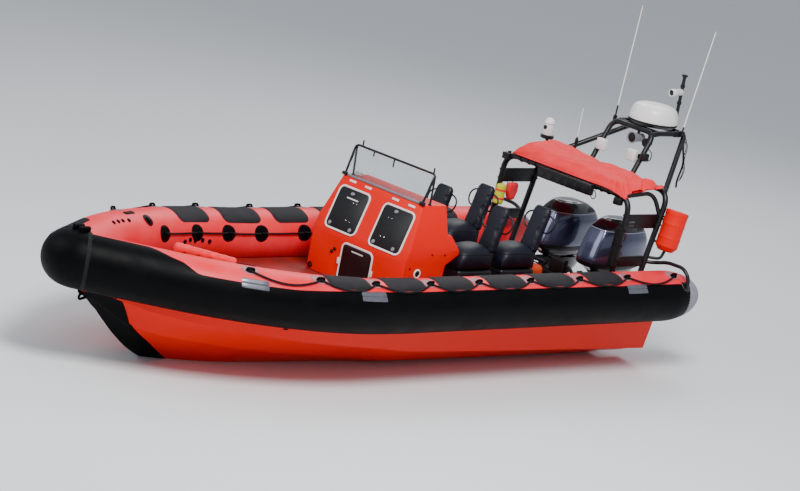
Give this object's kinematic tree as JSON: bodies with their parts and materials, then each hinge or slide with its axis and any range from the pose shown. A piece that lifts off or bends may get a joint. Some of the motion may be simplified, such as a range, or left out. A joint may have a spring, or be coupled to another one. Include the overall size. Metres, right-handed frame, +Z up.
{
  "type": "inshore rescue boat",
  "caption": "Open rescue boat with a rigid V hull in an inflated collar, a steering console, jockey seats, a roll frame with a righting bag, a radar frame and tilting outboard engines",
  "frame": {"origin": "Amidships on the centreline at the running waterline", "axes": "+X to the bow, +Y to port, +Z up"},
  "size_m": [8.055, 2.8896, 3.8753],
  "materials": {
    "collar_fabric": "coated, satin",
    "black_rubber": "matt",
    "hull_gelcoat": "gloss",
    "deck_nonslip": "non-slip",
    "moulding_gelcoat": "gloss",
    "hatch_acrylic": "gloss",
    "clear_screen": "clear",
    "painted_tube": "powder coated black",
    "seat_vinyl": "coated, stitched",
    "red_canvas": "woven",
    "black_fabric": "woven",
    "yellow_fabric": "woven",
    "black_plastic": "matt",
    "white_plastic": "gloss",
    "grey_plastic": "matt",
    "engine_paint": "metallic, satin",
    "propeller_steel": "polished"
  },
  "bodies": {
    "boat": {"tube_port": "collar_fabric", "tube_starboard": "collar_fabric", "nose_cap": "black_rubber", "stem_guard": "black_rubber", "bow_fairlead": "black_rubber", "hull": "hull_gelcoat", "deck": "deck_nonslip", "console": "moulding_gelcoat", "transom": "moulding_gelcoat", "container": "moulding_gelcoat", "seat_1_pod": "moulding_gelcoat", "seat_2_pod": "moulding_gelcoat", "seat_3_pod": "moulding_gelcoat", "seat_4_pod": "moulding_gelcoat", "windscreen": "clear_screen", "windscreen_frame": "painted_tube", "roll_frame_front": "painted_tube", "roll_frame_aft": "painted_tube", "side_panel_port": "painted_tube", "side_panel_starboard": "painted_tube", "radar_frame": "painted_tube", "mast": "painted_tube", "quarter_rail_port": "painted_tube", "quarter_rail_starboard": "painted_tube", "seat_1_cushion": "seat_vinyl", "seat_2_cushion": "seat_vinyl", "seat_3_cushion": "seat_vinyl", "seat_4_cushion": "seat_vinyl", "righting_bag": "red_canvas", "bow_roll": "red_canvas", "leg_pouch": "black_fabric", "throw_bag": "yellow_fabric", "light_box": "black_plastic", "radar_dome": "white_plastic", "aerial_starboard": "white_plastic", "aerial_port": "white_plastic", "thermal_camera": "white_plastic", "loudhailer": "grey_plastic", "clamp_bracket_port": "engine_paint", "clamp_bracket_starboard": "engine_paint"},
    "swivel_port": {"swivel_bracket_port": "engine_paint"},
    "swivel_starboard": {"swivel_bracket_starboard": "engine_paint"},
    "engine_port": {"engine_leg_port": "engine_paint", "engine_cowl_port": "engine_paint"},
    "engine_starboard": {"engine_leg_starboard": "engine_paint", "engine_cowl_starboard": "engine_paint"},
    "propeller_port": {"propeller_port": "propeller_steel"},
    "propeller_starboard": {"propeller_starboard": "propeller_steel"},
    "helm": {"helm_wheel": "black_plastic"},
    "lid_starboard": {"hatch_starboard": "hatch_acrylic"},
    "lid_port": {"hatch_port": "hatch_acrylic"},
    "lid_lower": {"hatch_lower": "hatch_acrylic"}
  },
  "joints": [
    {"name": "tilt_port", "type": "hinge", "parent": "boat", "child": "swivel_port", "pos_m": [-3.015, 0.35, 0.715], "axis": [0, 1, 0], "range_deg": [-4, 66]},
    {"name": "steer_port", "type": "hinge", "parent": "swivel_port", "child": "engine_port", "pos_m": [-3.13, 0.35, 0.6], "axis": [0, 0, 1], "range_deg": [-30, 30]},
    {"name": "spin_port", "type": "hinge", "parent": "engine_port", "child": "propeller_port", "pos_m": [-3.53, 0.35, -0.19], "axis": [1, 0, 0], "continuous": true},
    {"name": "tilt_starboard", "type": "hinge", "parent": "boat", "child": "swivel_starboard", "pos_m": [-3.015, -0.35, 0.715], "axis": [0, 1, 0], "range_deg": [-4, 66]},
    {"name": "steer_starboard", "type": "hinge", "parent": "swivel_starboard", "child": "engine_starboard", "pos_m": [-3.13, -0.35, 0.6], "axis": [0, 0, 1], "range_deg": [-30, 30]},
    {"name": "spin_starboard", "type": "hinge", "parent": "engine_starboard", "child": "propeller_starboard", "pos_m": [-3.53, -0.35, -0.19], "axis": [1, 0, 0], "continuous": true},
    {"name": "helm_turn", "type": "hinge", "parent": "boat", "child": "helm", "pos_m": [-0.69, -0.4, 1.345], "axis": [-0.9063, 0, 0.4226], "range_deg": [-540, 540]},
    {"name": "open_starboard", "type": "hinge", "parent": "boat", "child": "lid_starboard", "pos_m": [-0.1573, -0.309, 1.4622], "axis": [0, -1, 0], "range_deg": [0, 95]},
    {"name": "open_port", "type": "hinge", "parent": "boat", "child": "lid_port", "pos_m": [-0.1554, 0.32, 1.4565], "axis": [0, -1, 0], "range_deg": [0, 95]},
    {"name": "open_lower", "type": "hinge", "parent": "boat", "child": "lid_lower", "pos_m": [-0.0075, 0.012, 0.9703], "axis": [0, -1, 0], "range_deg": [0, 95]}
  ],
  "couplings": [
    {"joint": "steer_starboard", "follows": "steer_port", "ratio": 1},
    {"joint": "helm_turn", "follows": "steer_port", "ratio": -18}
  ]
}
